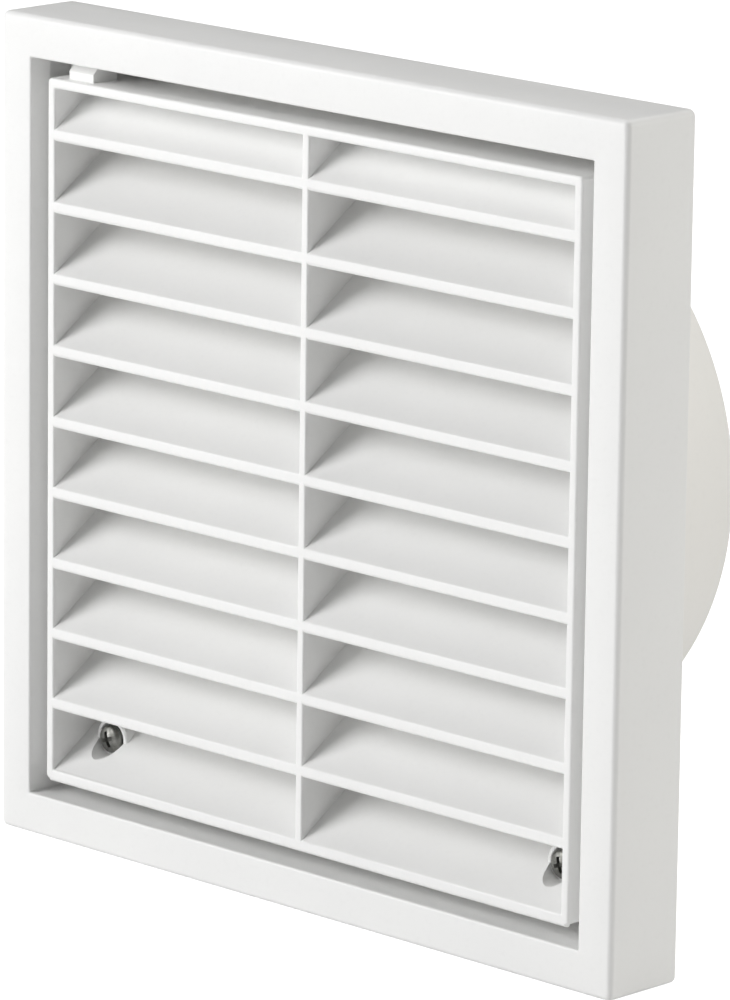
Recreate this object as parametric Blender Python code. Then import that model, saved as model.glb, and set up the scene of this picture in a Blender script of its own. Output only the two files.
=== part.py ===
"""Louvred air grille: a square wall outlet with fixed louvres and a round duct spigot.

Frame of reference: X to the right, Y into the wall, Z up, metres.  The origin is on the
duct's axis in the plane of the wall, so the grille stands out of the wall towards -Y and
the spigot runs into the wall towards +Y.

Depths are counted in millimetres from the front face backwards, and half sizes in
millimetres from the duct's axis outwards, because that is how the mouldings stack up.
"""
import math

import bmesh
import bpy

MM = 0.001
GAP = 0.3                      # clearance kept between touching pieces

# Surround
FRAME_HALF = 70.0              # 140 x 140 mm face
FRAME_DEPTH = 15.5
BORDER = 7.1                   # width of the flat border round the opening
FRAME_WALL = 2.0
RETURN_WALL = 1.6              # inner wall that lines the opening
FRONT_EDGE_RADIUS = 1.0
OPENING_EDGE_RADIUS = 0.4
FRAME_CORNER_RADIUS = 1.2
OPENING_HALF = FRAME_HALF - BORDER
NICHE_DEPTH = (4.4, 10.0)      # small blind niche in the lining of the opening, top left
NICHE_HEIGHT = (58.7, 61.4)
NICHE_SUNK = 1.0

# Back plate and duct spigot, one moulding
PLATE_THICKNESS = 2.2
PLATE_FRONT = FRAME_DEPTH - PLATE_THICKNESS
PLATE_HALF = FRAME_HALF - FRAME_WALL - 0.4
SPIGOT_RADIUS = 49.25          # fits a 100 mm duct
SPIGOT_TIP_RADIUS = 49.0
SPIGOT_LENGTH = 35.0
SPIGOT_WALL = 2.0
SPIGOT_CHAMFER = 0.4
BORE_RADIUS = SPIGOT_RADIUS - SPIGOT_WALL
LEDGE_RADIUS = 44.0            # inner edge of the ledge that carries the fly screen
LEDGE_THICKNESS = 1.5
PILLAR_RADIUS = 3.0            # pillars that take the insert's screws

# Louvre insert
SHADOW_GAP = 3.05              # open gap between the surround and the insert
INSERT_HALF = OPENING_HALF - SHADOW_GAP
INSERT_FRONT = 1.0
INSERT_REAR = PLATE_FRONT - 1.0
RIM = 1.7
RIM_EDGE_RADIUS = 0.45
RIM_CORNER_RADIUS = 0.8
MULLION = 1.6
ROWS = 10
ROW_PITCH = 12.12
UPPER_ROWS_RAISE = 0.48        # the lowest lip is the rim's lower bar, the others stand this much higher
LIP_HEIGHT = 2.1
LIP_THICKNESS = 1.4
LIP_UPPER_RADIUS = 0.45
LIP_LOWER_RADIUS = 0.8
BLADE_ANGLE = math.radians(34.0)
BLADE_RISE = math.tan(BLADE_ANGLE)
BLADE_THICKNESS = 1.25
BLADE_START = INSERT_FRONT + LIP_UPPER_RADIUS * (1.0 - math.sin(BLADE_ANGLE))
LOWEST_LIP_TOP = -INSERT_HALF + RIM - 0.05
LUG_LEFT, LUG_RIGHT = -56.3, -50.6
LUG_FRONT, LUG_REAR = 2.6, 8.0
LUG_RAMP = 1.4

# Fly screen and the ring that keeps it in the mouth of the spigot
SCREEN_RADIUS = BORE_RADIUS - 0.4
SCREEN_THICKNESS = 1.2
SCREEN_RIM = 2.6
SCREEN_PITCH = 7.4
SCREEN_BAR = 1.3
RING_THICKNESS = 1.8

# Screws: two hold the insert, four hold the surround to the back plate
INSERT_SCREW_X = 51.8
INSERT_SCREW_Z = -52.85
SCREW_HEAD_RADIUS = 2.4
SCREW_HEAD_HEIGHT = 2.0
SCREW_HEAD_FRONT = 7.4
SCREW_SHANK_RADIUS = 1.3
SCREW_TIP = FRAME_DEPTH - 0.4
SCREW_TIP_RADIUS = 0.5
RECESS_WIDTH, RECESS_SPAN, RECESS_DEPTH = 0.65, 2.6, 1.0
SEAT_DEPTH = SCREW_HEAD_FRONT + SCREW_HEAD_HEIGHT + GAP
COLLAR_FRONT = 8.6             # round collar that the head stands proud of
COLLAR_RADIUS = 3.6
POCKET_RADIUS = 2.75
SEAT_BLOCK_FRONT = 5.5
SEAT_BLOCK_HALF = 4.2
FRAME_BOSS_RADIUS = 2.3
FRAME_SCREW_OFFSET = 65.0
FRAME_SCREW_HEAD_RADIUS = 1.8
FRAME_SCREW_SHANK_RADIUS = 1.0
FRAME_SCREW_LENGTH = 9.0
WALL_HOLE = (55.0, 38.0)       # the four holes for wall screws, as X and Z offsets
WALL_HOLE_RADIUS = 2.25
WALL_HOLE_FLARE = 1.6

ROUND_SEGMENTS = 64
SMALL_SEGMENTS = 24
CORNER_SEGMENTS = 3

WHITE = (0.88, 0.88, 0.87, 1.0)
SCREEN_WHITE = (0.80, 0.80, 0.78, 1.0)
STEEL = (0.18, 0.18, 0.17, 1.0)
BRIGHT_STEEL = (0.55, 0.55, 0.56, 1.0)


def clear_scene():
    for obj in list(bpy.data.objects):
        bpy.data.objects.remove(obj, do_unlink=True)


def finish(name, colour, roughness, metallic):
    material = bpy.data.materials.new(name)
    material.use_nodes = True
    shader = material.node_tree.nodes["Principled BSDF"]
    shader.inputs["Base Color"].default_value = colour
    shader.inputs["Roughness"].default_value = roughness
    shader.inputs["Metallic"].default_value = metallic
    return material


def plastic(name):
    return finish(name + "_finish", WHITE, 0.4, 0.0)


def steel(name, colour=STEEL):
    return finish(name + "_finish", colour, 0.35, 1.0)


def place(x, depth, z):
    """Millimetres, with depth counted from the front face, to metres in the model's frame."""
    return (x * MM, (depth - FRAME_DEPTH) * MM, z * MM)


def add_object(name, bm, material=None, smooth_angle=None, location=(0.0, 0.0, 0.0)):
    bmesh.ops.recalc_face_normals(bm, faces=bm.faces[:])
    mesh = bpy.data.meshes.new(name)
    bm.to_mesh(mesh)
    bm.free()
    if smooth_angle is not None:
        mesh.shade_smooth()
        mesh.set_sharp_from_angle(angle=math.radians(smooth_angle))
    obj = bpy.data.objects.new(name, mesh)
    obj.location = location
    bpy.context.collection.objects.link(obj)
    if material is None:
        obj.hide_render = True
        obj.display_type = "WIRE"
    else:
        mesh.materials.append(material)
    return obj


def combine(target, tool, operation):
    modifier = target.modifiers.new(tool.name, "BOOLEAN")
    modifier.operation = operation
    modifier.object = tool
    return target


def join(target, tool):
    return combine(target, tool, "UNION")


def cut(target, tool):
    return combine(target, tool, "DIFFERENCE")


def arc(centre_a, centre_b, radius, start, end, steps):
    """Points of an arc in a section's own two axes, angles in degrees."""
    angles = [math.radians(start + (end - start) * i / steps) for i in range(steps + 1)]
    return [(centre_a + radius * math.cos(t), centre_b + radius * math.sin(t)) for t in angles]


def loft(bm, loops, closed):
    """Bridges loops of equal length; an open row of loops gets a face over each end."""
    rows = [[bm.verts.new(point) for point in loop] for loop in loops]
    count = len(rows[0])
    pairs = list(zip(rows, rows[1:] + rows[:1])) if closed else list(zip(rows, rows[1:]))
    for row, following in pairs:
        for i in range(count):
            j = (i + 1) % count
            bm.faces.new((row[i], row[j], following[j], following[i]))
    if not closed:
        bm.faces.new(rows[0])
        bm.faces.new(rows[-1])


def rounded_square(half, radius, depth):
    """Points of a rounded square round the Y axis."""
    centre = half - radius
    points = []
    for quarter, (sx, sz) in enumerate(((1, 1), (-1, 1), (-1, -1), (1, -1))):
        start = 90.0 * quarter
        points += arc(sx * centre, sz * centre, radius, start, start + 90.0, CORNER_SEGMENTS)
    return [place(x, depth, z) for x, z in points]


def square_ring(name, section, corner_offset, material=None):
    """A square ring whose section is a closed list of (half size, depth) points.

    The corners are concentric: a point further out has a larger corner radius.
    """
    bm = bmesh.new()
    smallest = 0.3
    loops = [rounded_square(half, max(smallest, half - corner_offset), d) for half, d in section]
    loft(bm, loops, closed=True)
    return add_object(name, bm, material, smooth_angle=35.0)


def turned(name, profile, x=0.0, z=0.0, segments=ROUND_SEGMENTS, material=None, ring=False):
    """A body turned about a line parallel to Y from (radius, depth) points."""
    bm = bmesh.new()
    turns = [2.0 * math.pi * i / segments for i in range(segments)]
    loops = [[place(x + r * math.cos(t), d, z + r * math.sin(t)) for t in turns] for r, d in profile]
    loft(bm, loops, closed=ring)
    return add_object(name, bm, material, smooth_angle=35.0)


def extruded_along_x(name, section, x_start, x_end, material=None):
    """A prism along X from a closed list of (depth, height) points."""
    bm = bmesh.new()
    loops = [[place(x, depth, z) for depth, z in section] for x in (x_start, x_end)]
    loft(bm, loops, closed=False)
    return add_object(name, bm, material, smooth_angle=35.0)


def corners(offset_x, offset_z):
    return [(sx * offset_x, sz * offset_z) for sz in (1, -1) for sx in (-1, 1)]


# ---------------------------------------------------------------- surround

def frame_section():
    """Closed section of the surround: outer wall, front border and the wall lining the opening."""
    r, e = FRONT_EDGE_RADIUS, OPENING_EDGE_RADIUS
    inner_of_wall = FRAME_HALF - FRAME_WALL
    outer_of_return = OPENING_HALF + RETURN_WALL
    return_rear = PLATE_FRONT - GAP
    return (
        [(FRAME_HALF, FRAME_DEPTH)]
        + arc(FRAME_HALF - r, r, r, 0.0, -90.0, 3)
        + arc(OPENING_HALF + e, e, e, 270.0, 180.0, 2)
        + [(OPENING_HALF, return_rear), (outer_of_return, return_rear)]
        + [(outer_of_return, FRAME_WALL), (inner_of_wall, FRAME_WALL), (inner_of_wall, FRAME_DEPTH)]
    )


def make_outer_frame():
    corner_offset = FRAME_HALF - FRAME_CORNER_RADIUS
    frame = square_ring("outer_frame", frame_section(), corner_offset, plastic("outer_frame"))
    pilot_radius = FRAME_SCREW_SHANK_RADIUS + GAP
    boss_rear = PLATE_FRONT - GAP
    for i, (x, z) in enumerate(corners(FRAME_SCREW_OFFSET, FRAME_SCREW_OFFSET), start=1):
        boss = [(FRAME_BOSS_RADIUS, FRAME_WALL - 0.5), (FRAME_BOSS_RADIUS, boss_rear)]
        join(frame, turned(f"frame_boss_{i}", boss, x, z, SMALL_SEGMENTS))
        pilot = [(pilot_radius, FRAME_DEPTH - FRAME_SCREW_LENGTH - 1.0), (pilot_radius, FRAME_DEPTH)]
        cut(frame, turned(f"frame_pilot_{i}", pilot, x, z, SMALL_SEGMENTS))
    (front, rear), (bottom, top) = NICHE_DEPTH, NICHE_HEIGHT
    niche = [(front, bottom), (rear, bottom), (rear, top), (front, top)]
    return cut(frame, extruded_along_x("lining_niche", niche, -OPENING_HALF - NICHE_SUNK, 0.5 - OPENING_HALF))


# ---------------------------------------------------------------- back plate and spigot

def make_spigot_plate():
    material = plastic("spigot_plate")
    half = PLATE_HALF
    bm = bmesh.new()
    loft(bm, [rounded_square(half, 1.0, d) for d in (PLATE_FRONT, FRAME_DEPTH)], closed=False)
    plate = add_object("spigot_plate", bm, material, smooth_angle=35.0)

    tip = FRAME_DEPTH + SPIGOT_LENGTH
    tube = [(SPIGOT_RADIUS, PLATE_FRONT + 0.8), (SPIGOT_RADIUS, FRAME_DEPTH),
            (SPIGOT_TIP_RADIUS, tip - SPIGOT_CHAMFER), (SPIGOT_TIP_RADIUS - SPIGOT_CHAMFER, tip)]
    join(plate, turned("spigot_tube", tube))

    ledge_front = PLATE_FRONT + RING_THICKNESS + SCREEN_THICKNESS + 3 * GAP
    ledge_rear = ledge_front + LEDGE_THICKNESS
    bore = [(BORE_RADIUS, PLATE_FRONT - 1.0), (BORE_RADIUS, ledge_front),
            (LEDGE_RADIUS, ledge_front), (LEDGE_RADIUS, ledge_rear),
            (BORE_RADIUS, ledge_rear + 1.0), (BORE_RADIUS - 0.2, tip + 1.0)]
    cut(plate, turned("spigot_bore", bore))

    for side, x in (("left", -INSERT_SCREW_X), ("right", INSERT_SCREW_X)):
        pillar = [(PILLAR_RADIUS, INSERT_REAR + GAP), (PILLAR_RADIUS, PLATE_FRONT + 0.5)]
        join(plate, turned(f"pillar_{side}", pillar, x, INSERT_SCREW_Z, SMALL_SEGMENTS))
        thread_radius = SCREW_SHANK_RADIUS + GAP
        hole = [(thread_radius, INSERT_REAR - 1.0), (thread_radius, FRAME_DEPTH + 1.0)]
        cut(plate, turned(f"pillar_hole_{side}", hole, x, INSERT_SCREW_Z, SMALL_SEGMENTS))

    for i, (x, z) in enumerate(corners(FRAME_SCREW_OFFSET, FRAME_SCREW_OFFSET), start=1):
        shank = FRAME_SCREW_SHANK_RADIUS + GAP
        head = FRAME_SCREW_HEAD_RADIUS + GAP
        sink = [(shank, PLATE_FRONT - 1.0), (shank, FRAME_DEPTH - 1.0),
                (head, FRAME_DEPTH - 0.2), (head, FRAME_DEPTH + 1.0)]
        cut(plate, turned(f"frame_screw_hole_{i}", sink, x, z, SMALL_SEGMENTS))

    for i, (x, z) in enumerate(corners(*WALL_HOLE), start=1):
        hole = [(WALL_HOLE_RADIUS + WALL_HOLE_FLARE + 0.5, PLATE_FRONT - 0.5),
                (WALL_HOLE_RADIUS, PLATE_FRONT + WALL_HOLE_FLARE), (WALL_HOLE_RADIUS, FRAME_DEPTH + 1.0)]
        cut(plate, turned(f"wall_hole_{i}", hole, x, z, SMALL_SEGMENTS))
    return plate


# ---------------------------------------------------------------- louvre insert

def lip_top(row):
    """Height of the top of a row's front lip, counted from the lowest row."""
    raise_by = UPPER_ROWS_RAISE if row > 0 else 0.0
    return LOWEST_LIP_TOP + row * ROW_PITCH + raise_by


def blade_top(row, depth):
    """Height of a blade's upper face at a depth."""
    return lip_top(row) + (depth - BLADE_START) * BLADE_RISE


def blade_section(row):
    """A blade rising to the back, whose upper face rolls over into a rounded front lip."""
    top = lip_top(row)
    bottom = top - LIP_HEIGHT
    upper, lower = LIP_UPPER_RADIUS, LIP_LOWER_RADIUS
    roll_height = top - upper * math.cos(BLADE_ANGLE)
    thickness = BLADE_THICKNESS / math.cos(BLADE_ANGLE)
    lip_rear = INSERT_FRONT + LIP_THICKNESS
    return (
        [(INSERT_REAR, blade_top(row, INSERT_REAR))]
        + arc(INSERT_FRONT + upper, roll_height, upper, 90.0 + math.degrees(BLADE_ANGLE), 180.0, 3)
        + arc(INSERT_FRONT + lower, bottom + lower, lower, 180.0, 270.0, 3)
        + [(lip_rear, bottom), (lip_rear, blade_top(row, lip_rear) - thickness)]
        + [(INSERT_REAR, blade_top(row, INSERT_REAR) - thickness)]
    )


def insert_rim_section():
    outer, inner, r = INSERT_HALF, INSERT_HALF - RIM, RIM_EDGE_RADIUS
    return (
        [(outer, INSERT_REAR)]
        + arc(outer - r, INSERT_FRONT + r, r, 0.0, -90.0, 3)
        + arc(inner + r, INSERT_FRONT + r, r, 270.0, 180.0, 3)
        + [(inner, INSERT_REAR)]
    )


def make_screw_seat(insert, side, x):
    """A block under the lowest blade and a round collar on it, bored for the screw."""
    sunk = 0.3
    base = -INSERT_HALF + RIM / 2
    front, rear = SEAT_BLOCK_FRONT, INSERT_REAR
    section = [(front, base), (rear, base),
               (rear, blade_top(0, rear) - sunk), (front, blade_top(0, front) - sunk)]
    left, right = x - SEAT_BLOCK_HALF, x + SEAT_BLOCK_HALF
    join(insert, extruded_along_x(f"seat_block_{side}", section, left, right))
    for name, radius, start, end, combine_with in (
        ("collar", COLLAR_RADIUS, COLLAR_FRONT, rear, join),
        ("pocket", POCKET_RADIUS, INSERT_FRONT, SEAT_DEPTH, cut),
        ("seat_hole", SCREW_SHANK_RADIUS + GAP, SEAT_DEPTH - 1.0, rear + 1.0, cut),
    ):
        profile = [(radius, start), (radius, end)]
        combine_with(insert, turned(f"{name}_{side}", profile, x, INSERT_SCREW_Z, SMALL_SEGMENTS))


def make_louvre_insert():
    corner_offset = INSERT_HALF - RIM_CORNER_RADIUS
    insert = square_ring("louvre_insert", insert_rim_section(), corner_offset, plastic("louvre_insert"))
    inside = INSERT_HALF - RIM / 2
    for row in range(ROWS):
        join(insert, extruded_along_x(f"blade_{row + 1}", blade_section(row), -inside, inside))
    r = RIM_EDGE_RADIUS
    half = MULLION / 2
    bm = bmesh.new()
    nose = arc(half - r, INSERT_FRONT + r, r, 0.0, -90.0, 3)
    nose += arc(r - half, INSERT_FRONT + r, r, 270.0, 180.0, 3)
    outline = [(half, INSERT_REAR)] + nose + [(-half, INSERT_REAR)]
    loft(bm, [[place(x, depth, z) for x, depth in outline] for z in (-inside, inside)], closed=False)
    join(insert, add_object("mullion", bm))
    for side, x in (("left", -INSERT_SCREW_X), ("right", INSERT_SCREW_X)):
        make_screw_seat(insert, side, x)
    join(insert, make_locating_lug())
    return insert


def make_locating_lug():
    """The ramped lug on top of the rim, near its left end, that centres the insert in the opening."""
    root, crest = INSERT_HALF - RIM / 2, OPENING_HALF - GAP
    section = [(LUG_FRONT, root), (LUG_REAR, root), (LUG_REAR, crest),
               (LUG_FRONT + LUG_RAMP, crest), (LUG_FRONT, crest - LUG_RAMP)]
    return extruded_along_x("locating_lug", section, LUG_LEFT, LUG_RIGHT)


# ---------------------------------------------------------------- fly screen

def make_fly_screen():
    front = PLATE_FRONT + RING_THICKNESS + 2 * GAP
    rear = front + SCREEN_THICKNESS
    disc = [(SCREEN_RADIUS, front), (SCREEN_RADIUS, rear)]
    screen = turned("fly_screen", disc, material=finish("fly_screen_finish", SCREEN_WHITE, 0.55, 0.0))
    bm = bmesh.new()
    reach = SCREEN_RADIUS - SCREEN_RIM
    hole = (SCREEN_PITCH - SCREEN_BAR) / 2
    cells = int(reach / SCREEN_PITCH) + 1
    for i in range(-cells, cells + 1):
        for k in range(-cells, cells + 1):
            x, z = i * SCREEN_PITCH, k * SCREEN_PITCH
            if math.hypot(abs(x) + hole, abs(z) + hole) > reach:
                continue
            square = [(x - hole, z - hole), (x + hole, z - hole),
                      (x + hole, z + hole), (x - hole, z + hole)]
            loft(bm, [[place(a, d, b) for a, b in square] for d in (front - 1.0, rear + 1.0)], closed=False)
    return cut(screen, add_object("screen_holes", bm))


def make_screen_ring():
    front, rear = PLATE_FRONT + GAP, PLATE_FRONT + GAP + RING_THICKNESS
    outer, inner, r = SCREEN_RADIUS, LEDGE_RADIUS, 0.3
    section = [(outer, rear), (outer, front + r), (outer - r, front),
               (inner + r, front), (inner, front + r), (inner, rear)]
    return turned("screen_ring", section, material=plastic("screen_ring"), ring=True)


# ---------------------------------------------------------------- screws

def cross_recess(name, front, rear, x, z):
    """Two crossed slots for a screwdriver, between two depths."""
    half, arm = RECESS_WIDTH / 2, RECESS_SPAN / 2
    outline = [(half, half), (half, arm), (-half, arm), (-half, half), (-arm, half), (-arm, -half),
               (-half, -half), (-half, -arm), (half, -arm), (half, -half), (arm, -half), (arm, half)]
    bm = bmesh.new()
    loft(bm, [[place(x + a, d, z + b) for a, b in outline] for d in (front, rear)], closed=False)
    return add_object(name, bm)


def make_insert_screw(side, x):
    """A pan head screw with a cross recess and a plain shank."""
    front, r, shank = SCREW_HEAD_FRONT, SCREW_HEAD_RADIUS, SCREW_SHANK_RADIUS
    under = front + SCREW_HEAD_HEIGHT
    profile = [(0.6 * r, front), (0.85 * r, front + 0.2), (0.97 * r, front + 0.6), (r, front + 1.1),
               (r, under), (shank, under), (shank, SCREW_TIP - 1.0), (SCREW_TIP_RADIUS, SCREW_TIP)]
    name = f"insert_screw_{side}"
    screw = turned(name, profile, x, INSERT_SCREW_Z, SMALL_SEGMENTS, steel(name))
    return cut(screw, cross_recess(f"cross_{side}", front - 1.0, front + RECESS_DEPTH, x, INSERT_SCREW_Z))


def make_frame_screw(index, x, z):
    rear = FRAME_DEPTH - 0.1
    head, shank = FRAME_SCREW_HEAD_RADIUS, FRAME_SCREW_SHANK_RADIUS
    tip = rear - FRAME_SCREW_LENGTH
    profile = [(head, rear), (head, rear - 0.2), (shank, rear - 1.0),
               (shank, tip + 0.8), (0.3 * shank, tip)]
    name = f"frame_screw_{index}"
    return turned(name, profile, x, z, SMALL_SEGMENTS, steel(name, BRIGHT_STEEL))


def main():
    clear_scene()
    make_outer_frame()
    make_spigot_plate()
    make_louvre_insert()
    make_fly_screen()
    make_screen_ring()
    for side, x in (("left", -INSERT_SCREW_X), ("right", INSERT_SCREW_X)):
        make_insert_screw(side, x)
    for index, (x, z) in enumerate(corners(FRAME_SCREW_OFFSET, FRAME_SCREW_OFFSET), start=1):
        make_frame_screw(index, x, z)


main()
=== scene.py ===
"""The looks of a louvred air grille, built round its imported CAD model.

Frame of reference: X to the right, Y into the wall, Z up, metres.  Lengths below are in
millimetres.  A depth is counted from the grille's front face backwards, and a half size
from the duct's axis outwards, because that is how the mouldings stack up.
"""
import math

import bmesh
import bpy
from mathutils import Matrix, Vector


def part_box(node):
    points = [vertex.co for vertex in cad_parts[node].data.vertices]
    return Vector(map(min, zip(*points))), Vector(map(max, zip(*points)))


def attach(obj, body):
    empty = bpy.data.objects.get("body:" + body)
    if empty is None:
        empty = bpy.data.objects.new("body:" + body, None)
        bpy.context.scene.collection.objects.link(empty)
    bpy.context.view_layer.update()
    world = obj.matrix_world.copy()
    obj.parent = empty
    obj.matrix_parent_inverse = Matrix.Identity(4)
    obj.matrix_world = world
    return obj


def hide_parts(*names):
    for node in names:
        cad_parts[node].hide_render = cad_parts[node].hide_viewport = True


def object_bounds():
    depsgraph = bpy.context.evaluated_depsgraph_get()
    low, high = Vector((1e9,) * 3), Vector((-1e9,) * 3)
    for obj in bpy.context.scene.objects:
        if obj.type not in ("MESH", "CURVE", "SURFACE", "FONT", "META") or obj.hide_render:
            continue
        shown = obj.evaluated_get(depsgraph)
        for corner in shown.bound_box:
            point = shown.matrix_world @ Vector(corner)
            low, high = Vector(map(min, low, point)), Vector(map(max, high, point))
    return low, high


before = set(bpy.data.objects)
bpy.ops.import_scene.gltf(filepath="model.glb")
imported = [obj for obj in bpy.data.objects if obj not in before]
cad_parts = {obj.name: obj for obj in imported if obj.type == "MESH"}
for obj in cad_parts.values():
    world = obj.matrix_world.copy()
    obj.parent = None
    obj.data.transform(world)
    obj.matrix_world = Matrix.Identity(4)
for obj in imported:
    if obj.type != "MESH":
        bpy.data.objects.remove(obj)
cad_low, cad_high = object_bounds()

MM = 0.001
GAP = 0.3                       # clearance between touching pieces, as in the CAD model
FRONT_Y = cad_low.y


def box_mm(node):
    """A CAD node's box, with depths counted from the front face: (x, depth, z) low and high."""
    low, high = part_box(node)
    return [(p.x / MM, (p.y - FRONT_Y) / MM, p.z / MM) for p in (low, high)]


_, FRAME_HIGH = box_mm("outer_frame")
_, PLATE_HIGH = box_mm("spigot_plate")
INSERT_LOW, INSERT_HIGH = box_mm("louvre_insert")
SCREEN_LOW, SCREEN_HIGH = box_mm("fly_screen")
RING_LOW, RING_HIGH = box_mm("screen_ring")

# Surround
FRAME_HALF = FRAME_HIGH[0]
FRAME_DEPTH = FRAME_HIGH[1]
SHADOW_GAP = 3.05               # open gap between the surround and the insert
INSERT_HALF = INSERT_HIGH[0]
OPENING_HALF = INSERT_HALF + SHADOW_GAP
FRAME_WALL = 2.0
RETURN_WALL = 1.6
FRONT_EDGE_RADIUS = 1.0
REAR_EDGE_RADIUS = 0.5
OPENING_EDGE_RADIUS = 0.4
FRAME_CORNER_RADIUS = 1.2
FRAME_BOSS_RADIUS = 2.3
NICHE_DEPTH = (4.4, 10.0)       # small blind niche in the lining of the opening, top left
NICHE_HEIGHT = (58.7, 61.4)
NICHE_SUNK = 1.0

# Back plate and spigot
PLATE_HALF = PLATE_HIGH[0]
PLATE_THICKNESS = 2.2
PLATE_FRONT = FRAME_DEPTH - PLATE_THICKNESS
SPIGOT_END = PLATE_HIGH[1]
SPIGOT_RADIUS = 49.25
SPIGOT_TIP_RADIUS = 49.0
SPIGOT_WALL = 2.0
SPIGOT_ROOT_FILLET = 0.9
BORE_RADIUS = SPIGOT_RADIUS - SPIGOT_WALL
LEDGE_RADIUS = 44.0
LEDGE_THICKNESS = 1.5
PILLAR_RADIUS = 3.0
WALL_HOLE = (55.0, 38.0)
WALL_HOLE_RADIUS = 2.25
WALL_HOLE_FLARE = 1.6
SINK_DEPTH = 1.0                # seats of the screws that come from behind
EJECTOR_RADIUS = 2.6            # round marks left by the mould's ejector pins
EJECTOR_CORNER = (42.0, 58.0)
EJECTOR_SIDE = 61.0
EJECTOR_DEPTH = 0.15

# Louvre insert
INSERT_FRONT = INSERT_LOW[1]
INSERT_REAR = INSERT_HIGH[1]
RIM = 1.7
RIM_EDGE_RADIUS = 0.45
RIM_CORNER_RADIUS = 0.8
MULLION = 1.6
ROWS = 10
ROW_PITCH = 12.12
UPPER_ROWS_RAISE = 0.48         # the lowest lip is the rim's lower bar, the others stand higher
LIP_HEIGHT = 2.1
LIP_THICKNESS = 1.4
LIP_UPPER_RADIUS = 0.45
LIP_LOWER_RADIUS = 0.8
BLADE_ANGLE = math.radians(34.0)
BLADE_RISE = math.tan(BLADE_ANGLE)
BLADE_THICKNESS = 1.25
BLADE_START = INSERT_FRONT + LIP_UPPER_RADIUS * (1.0 - math.sin(BLADE_ANGLE))
LOWEST_LIP_TOP = -INSERT_HALF + RIM - 0.05
LUG_LEFT, LUG_RIGHT = -56.3, -50.6
LUG_FRONT, LUG_REAR = 2.6, 8.0
LUG_RAMP = 1.4
SEAT_BLOCK_FRONT = 5.5
SEAT_BLOCK_HALF = 4.2
COLLAR_FRONT = 8.6              # the screw's head stands proud of its collar
COLLAR_RADIUS = 3.6
POCKET_RADIUS = 2.75

# Fly screen: extruded netting between a flat rim's two faces
SCREEN_RADIUS = SCREEN_HIGH[0]
SCREEN_RIM = 2.4
NET_PITCH = 2.3
NET_STRAND = 0.33               # radius of a strand
NET_LAYER = 0.6                 # each layer's distance from the middle, in strand radii

# Screws, in shares of the head's or the shank's radius unless they are lengths
RECESS_TURN = math.radians(20.0)
RECESS_ARM = 0.58
RECESS_WIDTH = 0.15
RECESS_DEPTH = 0.55             # share of the head's height
THREAD_PITCH = 0.9
THREAD_CORE = 0.72
THREAD_FLANK = 0.55             # share of the pitch that a thread's tooth takes
THREAD_RUN_IN = 0.6             # length over which the thread grows under the head
POINT_LENGTH = 1.6
POINT_TIP = 0.25

EDGE_BREAK = 0.2                # small chamfer on the edges inside and behind
OVERLAP = 0.5                   # how far a joined or cutting body reaches past a face
OVERSHOOT = 1.0                 # how far a drill reaches past the face it goes through
ROUND_SEGMENTS = 160
SMALL_SEGMENTS = 48
FILLET_STEPS = 6


# ---------------------------------------------------------------- mesh tools

def place(x, depth, z):
    return Vector((x * MM, FRONT_Y + depth * MM, z * MM))


def arc(centre_a, centre_b, radius, start, end, steps=FILLET_STEPS):
    """Points of an arc in a section's own two axes, angles in degrees."""
    angles = [math.radians(start + (end - start) * i / steps) for i in range(steps + 1)]
    return [(centre_a + radius * math.cos(t), centre_b + radius * math.sin(t)) for t in angles]


def loft(bm, loops, closed):
    """Bridges loops of equal length; an open row of loops gets a face over each end."""
    rows = [[bm.verts.new(point) for point in loop] for loop in loops]
    count = len(rows[0])
    following = rows[1:] + rows[:1] if closed else rows[1:]
    for row, after in zip(rows, following):
        for i in range(count):
            j = (i + 1) % count
            bm.faces.new((row[i], row[j], after[j], after[i]))
    if not closed:
        bm.faces.new(rows[0])
        bm.faces.new(rows[-1])


def make_object(name, bm):
    bmesh.ops.recalc_face_normals(bm, faces=bm.faces[:])
    mesh = bpy.data.meshes.new(name)
    bm.to_mesh(mesh)
    bm.free()
    obj = bpy.data.objects.new(name, mesh)
    bpy.context.scene.collection.objects.link(obj)
    return obj


def rounded_square(half, radius, depth, steps=FILLET_STEPS):
    centre = half - radius
    points = []
    for quarter, (sx, sz) in enumerate(((1, 1), (-1, 1), (-1, -1), (1, -1))):
        start = 90.0 * quarter
        points += arc(sx * centre, sz * centre, radius, start, start + 90.0, steps)
    return [place(x, depth, z) for x, z in points]


def square_ring(name, section, corner_offset):
    """A square ring from a closed list of (half size, depth) points, with concentric corners."""
    smallest = 0.3
    loops = [rounded_square(h, max(smallest, h - corner_offset), d) for h, d in section]
    bm = bmesh.new()
    loft(bm, loops, closed=True)
    return make_object(name, bm)


def turned(name, profile, x=0.0, z=0.0, segments=ROUND_SEGMENTS, ring=False):
    """A body turned about a line parallel to Y from (radius, depth) points."""
    turns = [2.0 * math.pi * i / segments for i in range(segments)]
    bm = bmesh.new()
    loops = [[place(x + r * math.cos(t), d, z + r * math.sin(t)) for t in turns]
             for r, d in profile]
    loft(bm, loops, closed=ring)
    return make_object(name, bm)


def extruded_along_x(name, section, x_start, x_end):
    bm = bmesh.new()
    loft(bm, [[place(x, d, z) for d, z in section] for x in (x_start, x_end)], closed=False)
    return make_object(name, bm)


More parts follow.
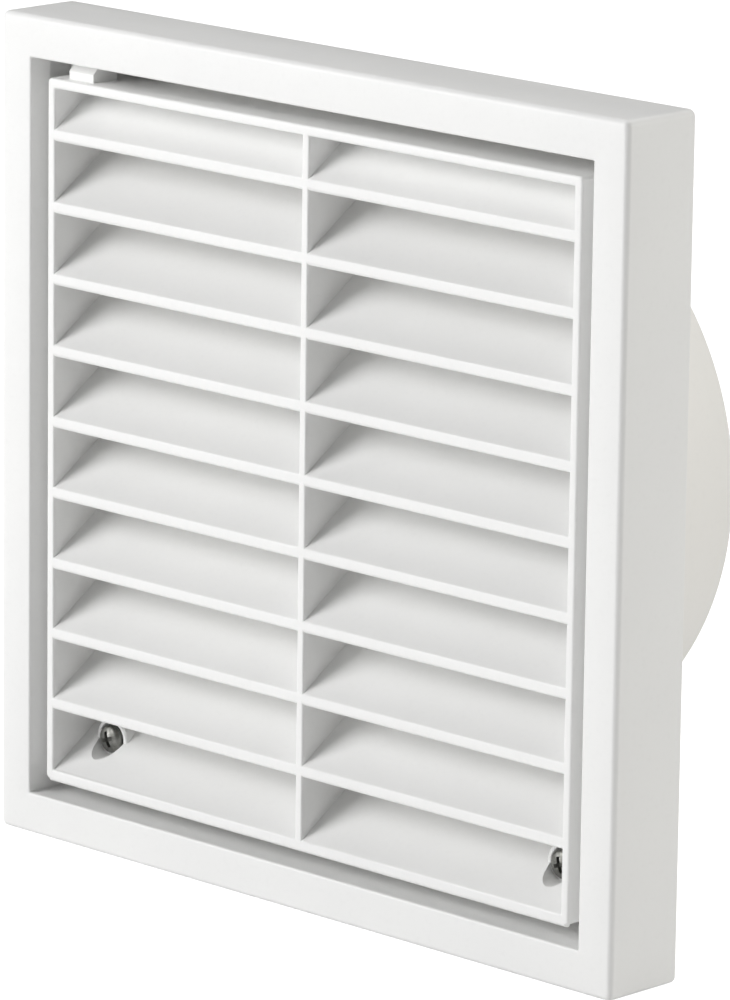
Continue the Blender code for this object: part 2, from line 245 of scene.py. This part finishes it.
def carve(target, steps):
    """Runs a list of (operation, tool) Booleans on the target and removes the tools."""
    for operation, tool in steps:
        modifier = target.modifiers.new(tool.name, "BOOLEAN")
        modifier.operation = operation
        modifier.solver = "EXACT"
        modifier.object = tool
    bpy.context.view_layer.update()
    evaluated = target.evaluated_get(bpy.context.evaluated_depsgraph_get())
    mesh = bpy.data.meshes.new_from_object(evaluated)
    target.modifiers.clear()
    target.data = mesh
    for _, tool in steps:
        bpy.data.objects.remove(tool, do_unlink=True)
    return target


def soften(obj, angle=32.0):
    obj.data.shade_smooth()
    obj.data.set_sharp_from_angle(angle=math.radians(angle))
    return obj


def four_corners(offset_x, offset_z):
    return [(sx * offset_x, sz * offset_z) for sz in (1, -1) for sx in (-1, 1)]


# ---------------------------------------------------------------- materials

class Nodes:
    """A material's node tree, with short calls for the nodes used here."""

    def __init__(self, name):
        self.material = bpy.data.materials.new(name)
        self.material.use_nodes = True
        self.tree = self.material.node_tree
        self.shader = self.tree.nodes["Principled BSDF"]
        self.position = self.add("ShaderNodeTexCoord").outputs["Object"]

    def add(self, kind, **settings):
        node = self.tree.nodes.new(kind)
        for key, value in settings.items():
            setattr(node, key, value)
        return node

    def link(self, source, target):
        self.tree.links.new(source, target)

    def noise(self, size_mm, detail=2.0, roughness=0.5, stretch=(1.0, 1.0, 1.0)):
        """Noise whose blobs are about size_mm across, stretched along the axes."""
        mapping = self.add("ShaderNodeMapping")
        mapping.inputs["Scale"].default_value = [1.0 / s for s in stretch]
        self.link(self.position, mapping.inputs["Vector"])
        texture = self.add("ShaderNodeTexNoise")
        texture.inputs["Scale"].default_value = 1.0 / (size_mm * MM)
        texture.inputs["Detail"].default_value = detail
        texture.inputs["Roughness"].default_value = roughness
        self.link(mapping.outputs["Vector"], texture.inputs["Vector"])
        return texture.outputs["Fac"]

    def spread(self, source, low, high, source_low=0.3, source_high=0.7):
        """Maps a noise to a range."""
        node = self.add("ShaderNodeMapRange")
        for name, value in (("From Min", source_low), ("From Max", source_high),
                            ("To Min", low), ("To Max", high)):
            node.inputs[name].default_value = value
        self.link(source, node.inputs["Value"])
        return node.outputs["Result"]

    def blend(self, factor, first, second, mode="MIX"):
        node = self.add("ShaderNodeMix", data_type="RGBA", blend_type=mode)
        for socket, value in ((node.inputs[6], first), (node.inputs[7], second)):
            if isinstance(value, tuple):
                socket.default_value = (*value, 1.0)
            else:
                self.link(value, socket)
        self.link(factor, node.inputs["Factor"])
        return node.outputs[2]

    def bump(self, height, depth_mm, strength=1.0, normal=None):
        node = self.add("ShaderNodeBump")
        node.inputs["Strength"].default_value = strength
        node.inputs["Distance"].default_value = depth_mm * MM
        self.link(height, node.inputs["Height"])
        if normal is not None:
            self.link(normal, node.inputs["Normal"])
        return node.outputs["Normal"]


def moulded_plastic(name, colour, shade, roughness,
                    grain_mm=0.55, grain_depth=0.006, flow=(6.0, 1.0, 1.0)):
    """Satin moulded plastic: a fine spark texture, faint flow marks and slightly uneven colour.

    shade is the colour that the plastic drifts towards in broad soft patches; a darker copy of it
    is painted into creases and hollows as painted shade.
    """
    n = Nodes(name)
    patches = n.noise(34.0, detail=3.0)
    specks = n.noise(0.9, detail=1.0)
    base = n.blend(n.spread(patches, 0.0, 1.0), colour, shade)
    speckled = n.blend(n.spread(specks, 0.0, 0.12, 0.55, 0.75), base, tuple(c * 0.9 for c in shade))
    # Painted shade: ambient occlusion darkens the base colour in creases, corners, gaps and
    # hollows.
    occlusion = n.add("ShaderNodeAmbientOcclusion", samples=6)
    occlusion.inputs["Distance"].default_value = 2.2 * MM
    painted_crease_shade = n.spread(occlusion.outputs["AO"], 0.07, 0.0, 0.15, 0.8)
    n.link(n.blend(painted_crease_shade, speckled, tuple(c * 0.72 for c in shade)), n.shader.inputs["Base Color"])

    flow_marks = n.noise(4.0, detail=2.0, stretch=flow)
    n.link(n.spread(flow_marks, roughness - 0.05, roughness + 0.06), n.shader.inputs["Roughness"])
    spark = n.noise(grain_mm, detail=2.0, roughness=0.6)
    waviness = n.noise(11.0, detail=1.0)
    normal = n.bump(waviness, 0.05, strength=0.35)
    n.link(n.bump(spark, grain_depth, strength=0.8, normal=normal), n.shader.inputs["Normal"])
    n.shader.inputs["IOR"].default_value = 1.5
    n.shader.inputs["Specular IOR Level"].default_value = 0.42
    return n.material


def plated_steel(name, colour, tarnish, roughness):
    """Plated steel with dull patches, an uneven sheen and a very fine grain."""
    n = Nodes(name)
    patches = n.noise(1.6, detail=4.0, roughness=0.6)
    dull = n.spread(patches, 0.0, 1.0, 0.4, 0.68)
    n.link(n.blend(dull, colour, tarnish), n.shader.inputs["Base Color"])
    sheen = n.spread(n.noise(0.7, detail=3.0), roughness - 0.1, roughness + 0.15)
    n.link(sheen, n.shader.inputs["Roughness"])
    n.link(n.bump(n.noise(0.25, detail=2.0), 0.01, strength=0.5), n.shader.inputs["Normal"])
    n.shader.inputs["Metallic"].default_value = 1.0
    return n.material


ALONG_X, ALONG_Y = (9.0, 1.0, 1.0), (1.0, 6.0, 1.0)     # how flow marks are stretched
MATERIALS = {
    "surround_white": moulded_plastic(
        "surround_plastic", (0.925, 0.925, 0.915), (0.905, 0.905, 0.898), 0.38, flow=ALONG_X),
    "insert_white": moulded_plastic(
        "insert_plastic", (0.94, 0.94, 0.932), (0.925, 0.925, 0.917), 0.38, flow=ALONG_X),
    "plate_white": moulded_plastic(
        "plate_plastic", (0.93, 0.918, 0.89), (0.915, 0.902, 0.873), 0.42, flow=ALONG_Y),
    "ring_white": moulded_plastic(
        "ring_plastic", (0.90, 0.89, 0.86), (0.885, 0.875, 0.85), 0.40),
    "screen_white": moulded_plastic(
        "netting_plastic", (0.80, 0.80, 0.78), (0.76, 0.76, 0.74), 0.52, 0.3, 0.01),
    "screw_dark": plated_steel(
        "dark_screw_steel", (0.27, 0.27, 0.255), (0.13, 0.13, 0.12), 0.45),
    "screw_bright": plated_steel(
        "bright_screw_steel", (0.62, 0.62, 0.63), (0.44, 0.44, 0.42), 0.30),
}


def hand_in(obj, body, slot, *nodes):
    """Gives a finished piece its material, its body and the CAD nodes that it stands for."""
    obj.data.materials.clear()
    obj.data.materials.append(MATERIALS[slot])
    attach(obj, body)
    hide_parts(*nodes)
    return obj


# ---------------------------------------------------------------- surround

def frame_section():
    """Closed section of the surround: outer wall, front border and the wall lining the opening."""
    r, e, b = FRONT_EDGE_RADIUS, OPENING_EDGE_RADIUS, REAR_EDGE_RADIUS
    inner_of_wall = FRAME_HALF - FRAME_WALL
    outer_of_return = OPENING_HALF + RETURN_WALL
    return_rear = PLATE_FRONT - GAP
    root = 0.5
    return (
        arc(FRAME_HALF - b, FRAME_DEPTH - b, b, 90.0, 0.0)
        + arc(FRAME_HALF - r, r, r, 0.0, -90.0, 8)
        + arc(OPENING_HALF + e, e, e, 270.0, 180.0)
        + [(OPENING_HALF, return_rear), (outer_of_return, return_rear)]
        + arc(outer_of_return + root, FRAME_WALL + root, root, 180.0, 270.0, 3)
        + arc(inner_of_wall - root, FRAME_WALL + root, root, 270.0, 360.0, 3)
        + [(inner_of_wall, FRAME_DEPTH - EDGE_BREAK), (inner_of_wall + EDGE_BREAK, FRAME_DEPTH)]
    )


def make_surround():
    surround = square_ring("surround", frame_section(), FRAME_HALF - FRAME_CORNER_RADIUS)
    steps = []
    for i, screw in enumerate(FRAME_SCREWS, start=1):
        rear = PLATE_FRONT - GAP
        boss = [(FRAME_BOSS_RADIUS, FRAME_WALL - OVERLAP), (FRAME_BOSS_RADIUS, rear - EDGE_BREAK),
                (FRAME_BOSS_RADIUS - EDGE_BREAK, rear)]
        steps.append(("UNION", turned(f"boss_{i}", boss, screw.x, screw.z, SMALL_SEGMENTS)))
        pilot_radius, beyond_tip = screw.shank_radius + GAP, 0.8
        pilot = [(pilot_radius, screw.tip - beyond_tip), (pilot_radius, FRAME_DEPTH)]
        steps.append(("DIFFERENCE", turned(f"pilot_{i}", pilot, screw.x, screw.z, SMALL_SEGMENTS)))
    (front, rear), (bottom, top) = NICHE_DEPTH, NICHE_HEIGHT
    niche = [(front, bottom), (rear, bottom), (rear, top), (front, top)]
    start, end = -OPENING_HALF - NICHE_SUNK, OVERLAP - OPENING_HALF
    steps.append(("DIFFERENCE", extruded_along_x("niche", niche, start, end)))
    return soften(carve(surround, steps))


# ---------------------------------------------------------------- back plate and spigot

def make_plate():
    """The back plate and the duct spigot, one moulding."""
    edge, corner_radius = 0.3, 1.0
    levels = ((PLATE_HALF - edge, PLATE_FRONT), (PLATE_HALF, PLATE_FRONT + edge),
              (PLATE_HALF, FRAME_DEPTH - edge), (PLATE_HALF - edge, FRAME_DEPTH))
    bm = bmesh.new()
    loft(bm, [rounded_square(half, corner_radius, d) for half, d in levels], closed=False)
    plate = make_object("back_plate_and_spigot", bm)

    fillet, tip, sunk = SPIGOT_ROOT_FILLET, 0.4, 0.8
    tube = (
        [(SPIGOT_RADIUS + fillet, PLATE_FRONT + sunk)]
        + arc(SPIGOT_RADIUS + fillet, FRAME_DEPTH + fillet, fillet, 270.0, 180.0)
        + arc(SPIGOT_TIP_RADIUS - tip, SPIGOT_END - tip, tip, 0.0, 90.0, 4)
    )
    ledge_front = SCREEN_HIGH[1] + GAP
    ledge_rear = ledge_front + LEDGE_THICKNESS
    lead, ledge_edge, ledge_root = 0.5, 0.4, 1.0
    bore = (
        [(BORE_RADIUS + lead, PLATE_FRONT - OVERSHOOT), (BORE_RADIUS + lead, PLATE_FRONT),
         (BORE_RADIUS, PLATE_FRONT + lead), (BORE_RADIUS, ledge_front),
         (LEDGE_RADIUS, ledge_front)]
        + arc(LEDGE_RADIUS + ledge_edge, ledge_rear - ledge_edge, ledge_edge, 180.0, 90.0, 4)
        + arc(BORE_RADIUS - ledge_root, ledge_rear + ledge_root, ledge_root, 270.0, 360.0, 5)
        + [(BORE_RADIUS - EDGE_BREAK, SPIGOT_END - tip), (BORE_RADIUS + EDGE_BREAK, SPIGOT_END),
           (BORE_RADIUS + EDGE_BREAK, SPIGOT_END + OVERSHOOT)]
    )
    steps = [("UNION", turned("tube", tube)), ("DIFFERENCE", turned("bore", bore))]

    def add_step(operation, name, profile, x, z):
        steps.append((operation, turned(name, profile, x, z, SMALL_SEGMENTS)))

    past_rear = FRAME_DEPTH + OVERSHOOT
    for i, screw in enumerate(INSERT_SCREWS):
        top = INSERT_REAR + GAP
        pillar = [(PILLAR_RADIUS - edge, top), (PILLAR_RADIUS, top + edge),
                  (PILLAR_RADIUS, PLATE_FRONT + OVERLAP)]
        hole_radius = screw.shank_radius + GAP
        hole = [(hole_radius, top - OVERSHOOT), (hole_radius, past_rear)]
        add_step("UNION", f"pillar_{i}", pillar, screw.x, screw.z)
        add_step("DIFFERENCE", f"pillar_hole_{i}", hole, screw.x, screw.z)
    for i, screw in enumerate(FRAME_SCREWS):
        shank, head = screw.shank_radius + GAP, screw.head_radius + GAP
        sink = [(shank, PLATE_FRONT - OVERSHOOT), (shank, FRAME_DEPTH - SINK_DEPTH),
                (head, FRAME_DEPTH - EDGE_BREAK), (head, past_rear)]
        add_step("DIFFERENCE", f"sink_{i}", sink, screw.x, screw.z)
    for i, (x, z) in enumerate(four_corners(*WALL_HOLE)):
        hole = [(WALL_HOLE_RADIUS + WALL_HOLE_FLARE + OVERLAP, PLATE_FRONT - OVERLAP),
                (WALL_HOLE_RADIUS, PLATE_FRONT + WALL_HOLE_FLARE),
                (WALL_HOLE_RADIUS, FRAME_DEPTH - EDGE_BREAK),
                (WALL_HOLE_RADIUS + EDGE_BREAK, FRAME_DEPTH),
                (WALL_HOLE_RADIUS + EDGE_BREAK, past_rear)]
        add_step("DIFFERENCE", f"wall_hole_{i}", hole, x, z)
    sides = [(-EJECTOR_SIDE, 0.0), (EJECTOR_SIDE, 0.0)]
    for i, (x, z) in enumerate(four_corners(*EJECTOR_CORNER) + sides):
        mark = [(EJECTOR_RADIUS, FRAME_DEPTH - EJECTOR_DEPTH), (EJECTOR_RADIUS, past_rear)]
        add_step("DIFFERENCE", f"ejector_mark_{i}", mark, x, z)
    return soften(carve(plate, steps))


# ---------------------------------------------------------------- louvre insert

def lip_top(row):
    raise_by = UPPER_ROWS_RAISE if row > 0 else 0.0
    return LOWEST_LIP_TOP + row * ROW_PITCH + raise_by


def blade_top(row, depth):
    """Height of a blade's upper face at a depth."""
    return lip_top(row) + (depth - BLADE_START) * BLADE_RISE


def blade_section(row):
    """A blade rising to the back, whose upper face rolls over into a rounded front lip."""
    top = lip_top(row)
    bottom = top - LIP_HEIGHT
    upper, lower = LIP_UPPER_RADIUS, LIP_LOWER_RADIUS
    thickness = BLADE_THICKNESS / math.cos(BLADE_ANGLE)
    roll_height = top - upper * math.cos(BLADE_ANGLE)
    lip_rear = INSERT_FRONT + LIP_THICKNESS
    edge = 0.1
    return (
        [(INSERT_REAR, blade_top(row, INSERT_REAR) - edge),
         (INSERT_REAR - edge, blade_top(row, INSERT_REAR - edge))]
        + arc(INSERT_FRONT + upper, roll_height, upper, 90.0 + math.degrees(BLADE_ANGLE), 180.0)
        + arc(INSERT_FRONT + lower, bottom + lower, lower, 180.0, 270.0, 8)
        + [(lip_rear - EDGE_BREAK, bottom), (lip_rear, bottom + EDGE_BREAK)]
        + [(lip_rear, blade_top(row, lip_rear) - thickness)]
        + [(INSERT_REAR, blade_top(row, INSERT_REAR) - thickness)]
    )


def rounded_bar(outer, inner, front, rear, radius):
    """Closed section of a bar with two rounded front edges, as (across, depth) points."""
    return (
        [(outer, rear)]
        + arc(outer - radius, front + radius, radius, 0.0, -90.0)
        + arc(inner + radius, front + radius, radius, 270.0, 180.0)
        + [(inner, rear)]
    )


def make_insert():
    rim = rounded_bar(INSERT_HALF, INSERT_HALF - RIM, INSERT_FRONT, INSERT_REAR, RIM_EDGE_RADIUS)
    insert = square_ring("louvre_panel", rim, INSERT_HALF - RIM_CORNER_RADIUS)
    inside = INSERT_HALF - RIM / 2
    steps = [("UNION", extruded_along_x(f"blade_{row}", blade_section(row), -inside, inside))
             for row in range(ROWS)]

    bm = bmesh.new()
    outline = rounded_bar(MULLION / 2, -MULLION / 2, INSERT_FRONT, INSERT_REAR, RIM_EDGE_RADIUS)
    loft(bm, [[place(x, d, z) for x, d in outline] for z in (-inside, inside)], closed=False)
    steps.append(("UNION", make_object("mullion", bm)))

    sunk, base = 0.3, -INSERT_HALF + RIM / 2
    front, rear = SEAT_BLOCK_FRONT, INSERT_REAR
    for i, screw in enumerate(INSERT_SCREWS):
        section = [(front, base), (rear, base), (rear, blade_top(0, rear) - sunk),
                   (front, blade_top(0, front) - sunk)]
        left, right = screw.x - SEAT_BLOCK_HALF, screw.x + SEAT_BLOCK_HALF
        steps.append(("UNION", extruded_along_x(f"seat_block_{i}", section, left, right)))
        seat = screw.under_head + GAP
        edge, flare, draft = 0.25, 0.3, 0.15
        collar = [(COLLAR_RADIUS - edge, COLLAR_FRONT), (COLLAR_RADIUS, COLLAR_FRONT + edge),
                  (COLLAR_RADIUS, rear)]
        pocket = [(POCKET_RADIUS + flare, INSERT_FRONT),
                  (POCKET_RADIUS + draft, COLLAR_FRONT - 0.05),
                  (POCKET_RADIUS, COLLAR_FRONT + draft), (POCKET_RADIUS, seat)]
        shank = screw.shank_radius + GAP
        hole = [(shank, seat - OVERSHOOT), (shank, rear + OVERSHOOT)]
        for operation, name, profile in (("UNION", f"collar_{i}", collar),
                                         ("DIFFERENCE", f"pocket_{i}", pocket),
                                         ("DIFFERENCE", f"seat_hole_{i}", hole)):
            steps.append((operation, turned(name, profile, screw.x, screw.z, SMALL_SEGMENTS)))

    root, crest = INSERT_HALF - RIM / 2, INSERT_HIGH[2]
    lug = [(LUG_FRONT, root), (LUG_REAR, root), (LUG_REAR, crest - EDGE_BREAK),
           (LUG_REAR - EDGE_BREAK, crest), (LUG_FRONT + LUG_RAMP, crest),
           (LUG_FRONT, crest - LUG_RAMP)]
    steps.append(("UNION", extruded_along_x("lug", lug, LUG_LEFT, LUG_RIGHT)))
    return soften(carve(insert, steps))


# ---------------------------------------------------------------- fly screen and its ring

def add_strand(bm, start, end, radius, sides=8):
    """A round strand between two points, with closed ends."""
    along = (end - start).normalized()
    across = along.cross(Vector((0.0, 1.0, 0.0))).normalized()
    other = along.cross(across)
    turns = [2.0 * math.pi * i / sides for i in range(sides)]
    offsets = [radius * (math.cos(t) * across + math.sin(t) * other) for t in turns]
    loft(bm, [[point + offset for offset in offsets] for point in (start, end)], closed=False)


def make_fly_screen():
    """Extruded netting in a flat rim: upright strands fused to a layer of level ones."""
    front, rear = SCREEN_LOW[1], SCREEN_HIGH[1]
    inner, edge = SCREEN_RADIUS - SCREEN_RIM, EDGE_BREAK
    rim = [(SCREEN_RADIUS - edge, front), (SCREEN_RADIUS, front + edge),
           (SCREEN_RADIUS, rear - edge), (SCREEN_RADIUS - edge, rear), (inner + edge, rear),
           (inner, rear - edge), (inner, front + edge), (inner + edge, front)]
    screen = turned("fly_screen_net", rim, ring=True)
    bm = bmesh.new()
    bm.from_mesh(screen.data)
    middle = (front + rear) / 2
    layer = NET_LAYER * NET_STRAND
    reach = inner + OVERLAP
    count = int(reach / NET_PITCH)
    for i in range(-count, count + 1):
        offset = i * NET_PITCH
        half = math.sqrt(reach ** 2 - offset ** 2)
        ends = (-half, half)
        add_strand(bm, *[place(offset, middle - layer, z) for z in ends], NET_STRAND * MM)
        add_strand(bm, *[place(x, middle + layer, offset) for x in ends], NET_STRAND * MM)
    bmesh.ops.recalc_face_normals(bm, faces=bm.faces[:])
    bm.to_mesh(screen.data)
    bm.free()
    return soften(screen, 50.0)


def make_ring():
    front, rear, r = RING_LOW[1], RING_HIGH[1], 0.3
    section = (
        arc(SCREEN_RADIUS - r, rear - r, r, 90.0, 0.0, 4)
        + arc(SCREEN_RADIUS - r, front + r, r, 0.0, -90.0, 4)
        + arc(LEDGE_RADIUS + r, front + r, r, 270.0, 180.0, 4)
        + arc(LEDGE_RADIUS + r, rear - r, r, 180.0, 90.0, 4)
    )
    return soften(turned("screen_clamp_ring", section, ring=True))


# ---------------------------------------------------------------- screws

class Screw:
    """A screw's place and sizes, read from its CAD node.  It points along Y either way."""

    def __init__(self, node, name, body, slot, head_height, shank_radius, into_wall, countersunk):
        low, high = box_mm(node)
        self.node, self.name, self.body, self.slot = node, name, body, slot
        self.x, self.z = (low[0] + high[0]) / 2, (low[2] + high[2]) / 2
        self.head_radius = (high[0] - low[0]) / 2
        self.shank_radius = shank_radius
        self.countersunk = countersunk
        self.direction = 1 if into_wall else -1
        self.head = low[1] if into_wall else high[1]
        self.tip = high[1] if into_wall else low[1]
        self.length = high[1] - low[1]
        self.head_height = head_height
        self.under_head = self.head + self.direction * head_height

    def at(self, radius, along, angle=0.0):
        """A point at a distance along the screw from the front of its head."""
        depth = self.head + self.direction * along
        return place(self.x + radius * math.cos(angle), depth, self.z + radius * math.sin(angle))


def head_profile(screw):
    """Head outline as (radius, distance) points, from the middle of its face outwards."""
    r, h = screw.head_radius, screw.head_height
    if screw.countersunk:
        edge = 0.1 * r
        return [(0.5 * r, 0.0)] + arc(r - edge, edge, edge, 270.0, 360.0, 3)
    crown, side = 0.14 * h, 0.5 * h
    steps = 9
    dome = [math.radians(90.0 * i / steps) for i in range(1, steps + 1)]
    rounded = [(r * (0.55 + 0.45 * math.sin(a)), crown + (side - crown) * (1.0 - math.cos(a)))
               for a in dome]
    return [(0.2 * r, 0.0), (0.45 * r, 0.4 * crown)] + rounded + [(r, h - 0.1), (r - 0.1, h)]


def thread_rows(screw, turns, per_turn=10):
    """Rings of points down the shank, from under the head to the point."""
    crest = screw.shank_radius
    core = THREAD_CORE * crest
    start = screw.head_height
    count = int((screw.length - start) / THREAD_PITCH * per_turn)
    rows = []
    for k in range(count + 1):
        d = start + (screw.length - start) * k / count
        run_in = min(1.0, (d - start) / THREAD_RUN_IN)
        taper = min(1.0, POINT_TIP + (screw.length - d) / (POINT_LENGTH * crest))
        row = []
        for i, turn in enumerate(turns):
            phase = (d / THREAD_PITCH - i / len(turns)) % 1.0
            tooth = max(0.0, 1.0 - abs(2.0 * phase - 1.0) / THREAD_FLANK)
            row.append(screw.at((core + (crest - core) * tooth * run_in) * taper, d, turn))
        rows.append(row)
    return rows


def make_recess(screw):
    """The tool that cuts the cross recess, narrower at its bottom."""
    arm, width = RECESS_ARM * screw.head_radius, RECESS_WIDTH * screw.head_radius
    above, deep = -0.35, RECESS_DEPTH * screw.head_height
    loops = []
    for a, w, along in ((1.18 * arm, width, above), (0.72 * arm, 0.8 * width, deep)):
        outline = [(w, w), (w, a), (-w, a), (-w, w), (-a, w), (-a, -w),
                   (-w, -w), (-w, -a), (w, -a), (w, -w), (a, -w), (a, w)]
        loops.append([screw.at(math.hypot(p, q), along, math.atan2(q, p) + RECESS_TURN)
                      for p, q in outline])
    bm = bmesh.new()
    loft(bm, loops, closed=False)
    return make_object("recess", bm)


def make_screw(screw, segments=36):
    """A screw with a cross recess and a rolled thread, whose crests stay inside the CAD shank."""
    turns = [2.0 * math.pi * i / segments for i in range(segments)]
    head = [[screw.at(r, d, t) for t in turns] for r, d in head_profile(screw)]
    bm = bmesh.new()
    loft(bm, head + thread_rows(screw, turns), closed=False)
    body = make_object(screw.name, bm)
    return soften(carve(body, [("DIFFERENCE", make_recess(screw))]), 40.0)


INSERT_SCREWS = [
    Screw(f"insert_screw_{side}", f"panel_screw_{side}", "insert", "screw_dark",
          head_height=2.0, shank_radius=1.3, into_wall=True, countersunk=False)
    for side in ("left", "right")
]
FRAME_SCREWS = [
    Screw(f"frame_screw_{i}", f"surround_screw_{i}", "housing", "screw_bright",
          head_height=0.9, shank_radius=1.0, into_wall=False, countersunk=True)
    for i in (1, 2, 3, 4)
]


# ---------------------------------------------------------------- camera, light and floor

def make_camera(lens=254.2, distance=1.1361, turn=44.68, tilt=13.19, roll=0.61,
                shift=(0.0679, -0.0074)):
    """Looks at the front face from its right, slightly from above.

    turn is the angle to the right of straight on, tilt the angle above level, in degrees.
    """
    turn, tilt, roll = math.radians(turn), math.radians(tilt), math.radians(roll)
    forward = Vector((-math.sin(turn) * math.cos(tilt), math.cos(turn) * math.cos(tilt),
                      -math.sin(tilt)))
    level = Vector((math.cos(turn), math.sin(turn), 0.0))
    upright = level.cross(forward)
    right = math.cos(roll) * level + math.sin(roll) * upright
    up = -math.sin(roll) * level + math.cos(roll) * upright
    data = bpy.data.cameras.new("camera")
    data.lens = lens
    data.sensor_width = 36.0
    data.shift_x, data.shift_y = shift
    data.clip_start, data.clip_end = 0.05, 50.0
    camera = bpy.data.objects.new("camera", data)
    bpy.context.scene.collection.objects.link(camera)
    matrix = Matrix((right, up, -forward)).transposed().to_4x4()
    matrix.translation = Vector((0.0, FRONT_Y, 0.0)) - forward * distance
    camera.matrix_world = matrix
    bpy.context.scene.camera = camera


def make_light(name, turn, height, power, colour=(1.0, 1.0, 1.0), distance=1.5, size=0.9):
    """A square soft box.  turn is the angle to the right of straight on, height above level."""
    turn, height = math.radians(turn), math.radians(height)
    data = bpy.data.lights.new(name, "AREA")
    data.size = size
    data.energy = power
    data.color = colour
    light = bpy.data.objects.new(name, data)
    light.location = distance * Vector((math.sin(turn) * math.cos(height),
                                        -math.cos(turn) * math.cos(height), math.sin(height)))
    light.rotation_mode = "QUATERNION"
    light.rotation_quaternion = (-light.location).to_track_quat("-Z", "Y")
    bpy.context.scene.collection.objects.link(light)


def seen_and_lit(tree, seen, lit):
    """A strength that differs between what the camera sees and what lights the object."""
    path = tree.nodes.new("ShaderNodeLightPath")
    strength = tree.nodes.new("ShaderNodeMapRange")
    strength.inputs["To Min"].default_value = lit
    strength.inputs["To Max"].default_value = seen
    tree.links.new(path.outputs["Is Camera Ray"], strength.inputs["Value"])
    return strength.outputs["Result"]


def make_world(seen=1.0, lit=0.07):
    """A white backdrop that lights the object more softly than it looks."""
    world = bpy.data.worlds.new("studio")
    world.use_nodes = True
    tree = world.node_tree
    background = tree.nodes["Background"]
    background.inputs["Color"].default_value = (1.0, 1.0, 1.0, 1.0)
    tree.links.new(seen_and_lit(tree, seen, lit), background.inputs["Strength"])
    bpy.context.scene.world = world


def make_floor(seen=0.97, lit=0.2, half=8.0):
    """A pale lit table top that the grille stands on."""
    bm = bmesh.new()
    loop = [(half, half), (-half, half), (-half, -half), (half, -half)]
    bm.faces.new([bm.verts.new((x, y, cad_low.z - GAP * MM)) for x, y in loop])
    floor = make_object("floor", bm)
    n = Nodes("floor_paint")
    patches = n.spread(n.noise(60.0, detail=3.0), 0.0, 1.0)
    tone = n.blend(patches, (0.60, 0.60, 0.60), (0.58, 0.58, 0.58))
    n.link(tone, n.shader.inputs["Base Color"])
    n.shader.inputs["Roughness"].default_value = 0.8
    n.shader.inputs["Emission Color"].default_value = (1.0, 1.0, 1.0, 1.0)
    n.link(seen_and_lit(n.tree, seen, lit), n.shader.inputs["Emission Strength"])
    floor.data.materials.append(n.material)


# ---------------------------------------------------------------- the grille

hand_in(make_surround(), "housing", "surround_white", "outer_frame")
hand_in(make_plate(), "housing", "plate_white", "spigot_plate")
hand_in(make_ring(), "housing", "ring_white", "screen_ring")
hand_in(make_fly_screen(), "housing", "screen_white", "fly_screen")
hand_in(make_insert(), "insert", "insert_white", "louvre_insert")
for screw in INSERT_SCREWS + FRAME_SCREWS:
    hand_in(make_screw(screw), screw.body, screw.slot, screw.node)

make_camera()
make_floor()
make_world()
make_light("key", turn=-37.0, height=15.0, power=11.7)
make_light("front", turn=-36.0, height=25.0, power=7.3)
make_light("top", turn=180.0, height=65.0, power=9.8)
make_light("fill", turn=118.0, height=20.0, power=8.0, colour=(1.0, 0.985, 0.93))
make_light("side", turn=65.0, height=20.0, power=1.4)
bpy.context.scene.view_settings.view_transform = "Standard"
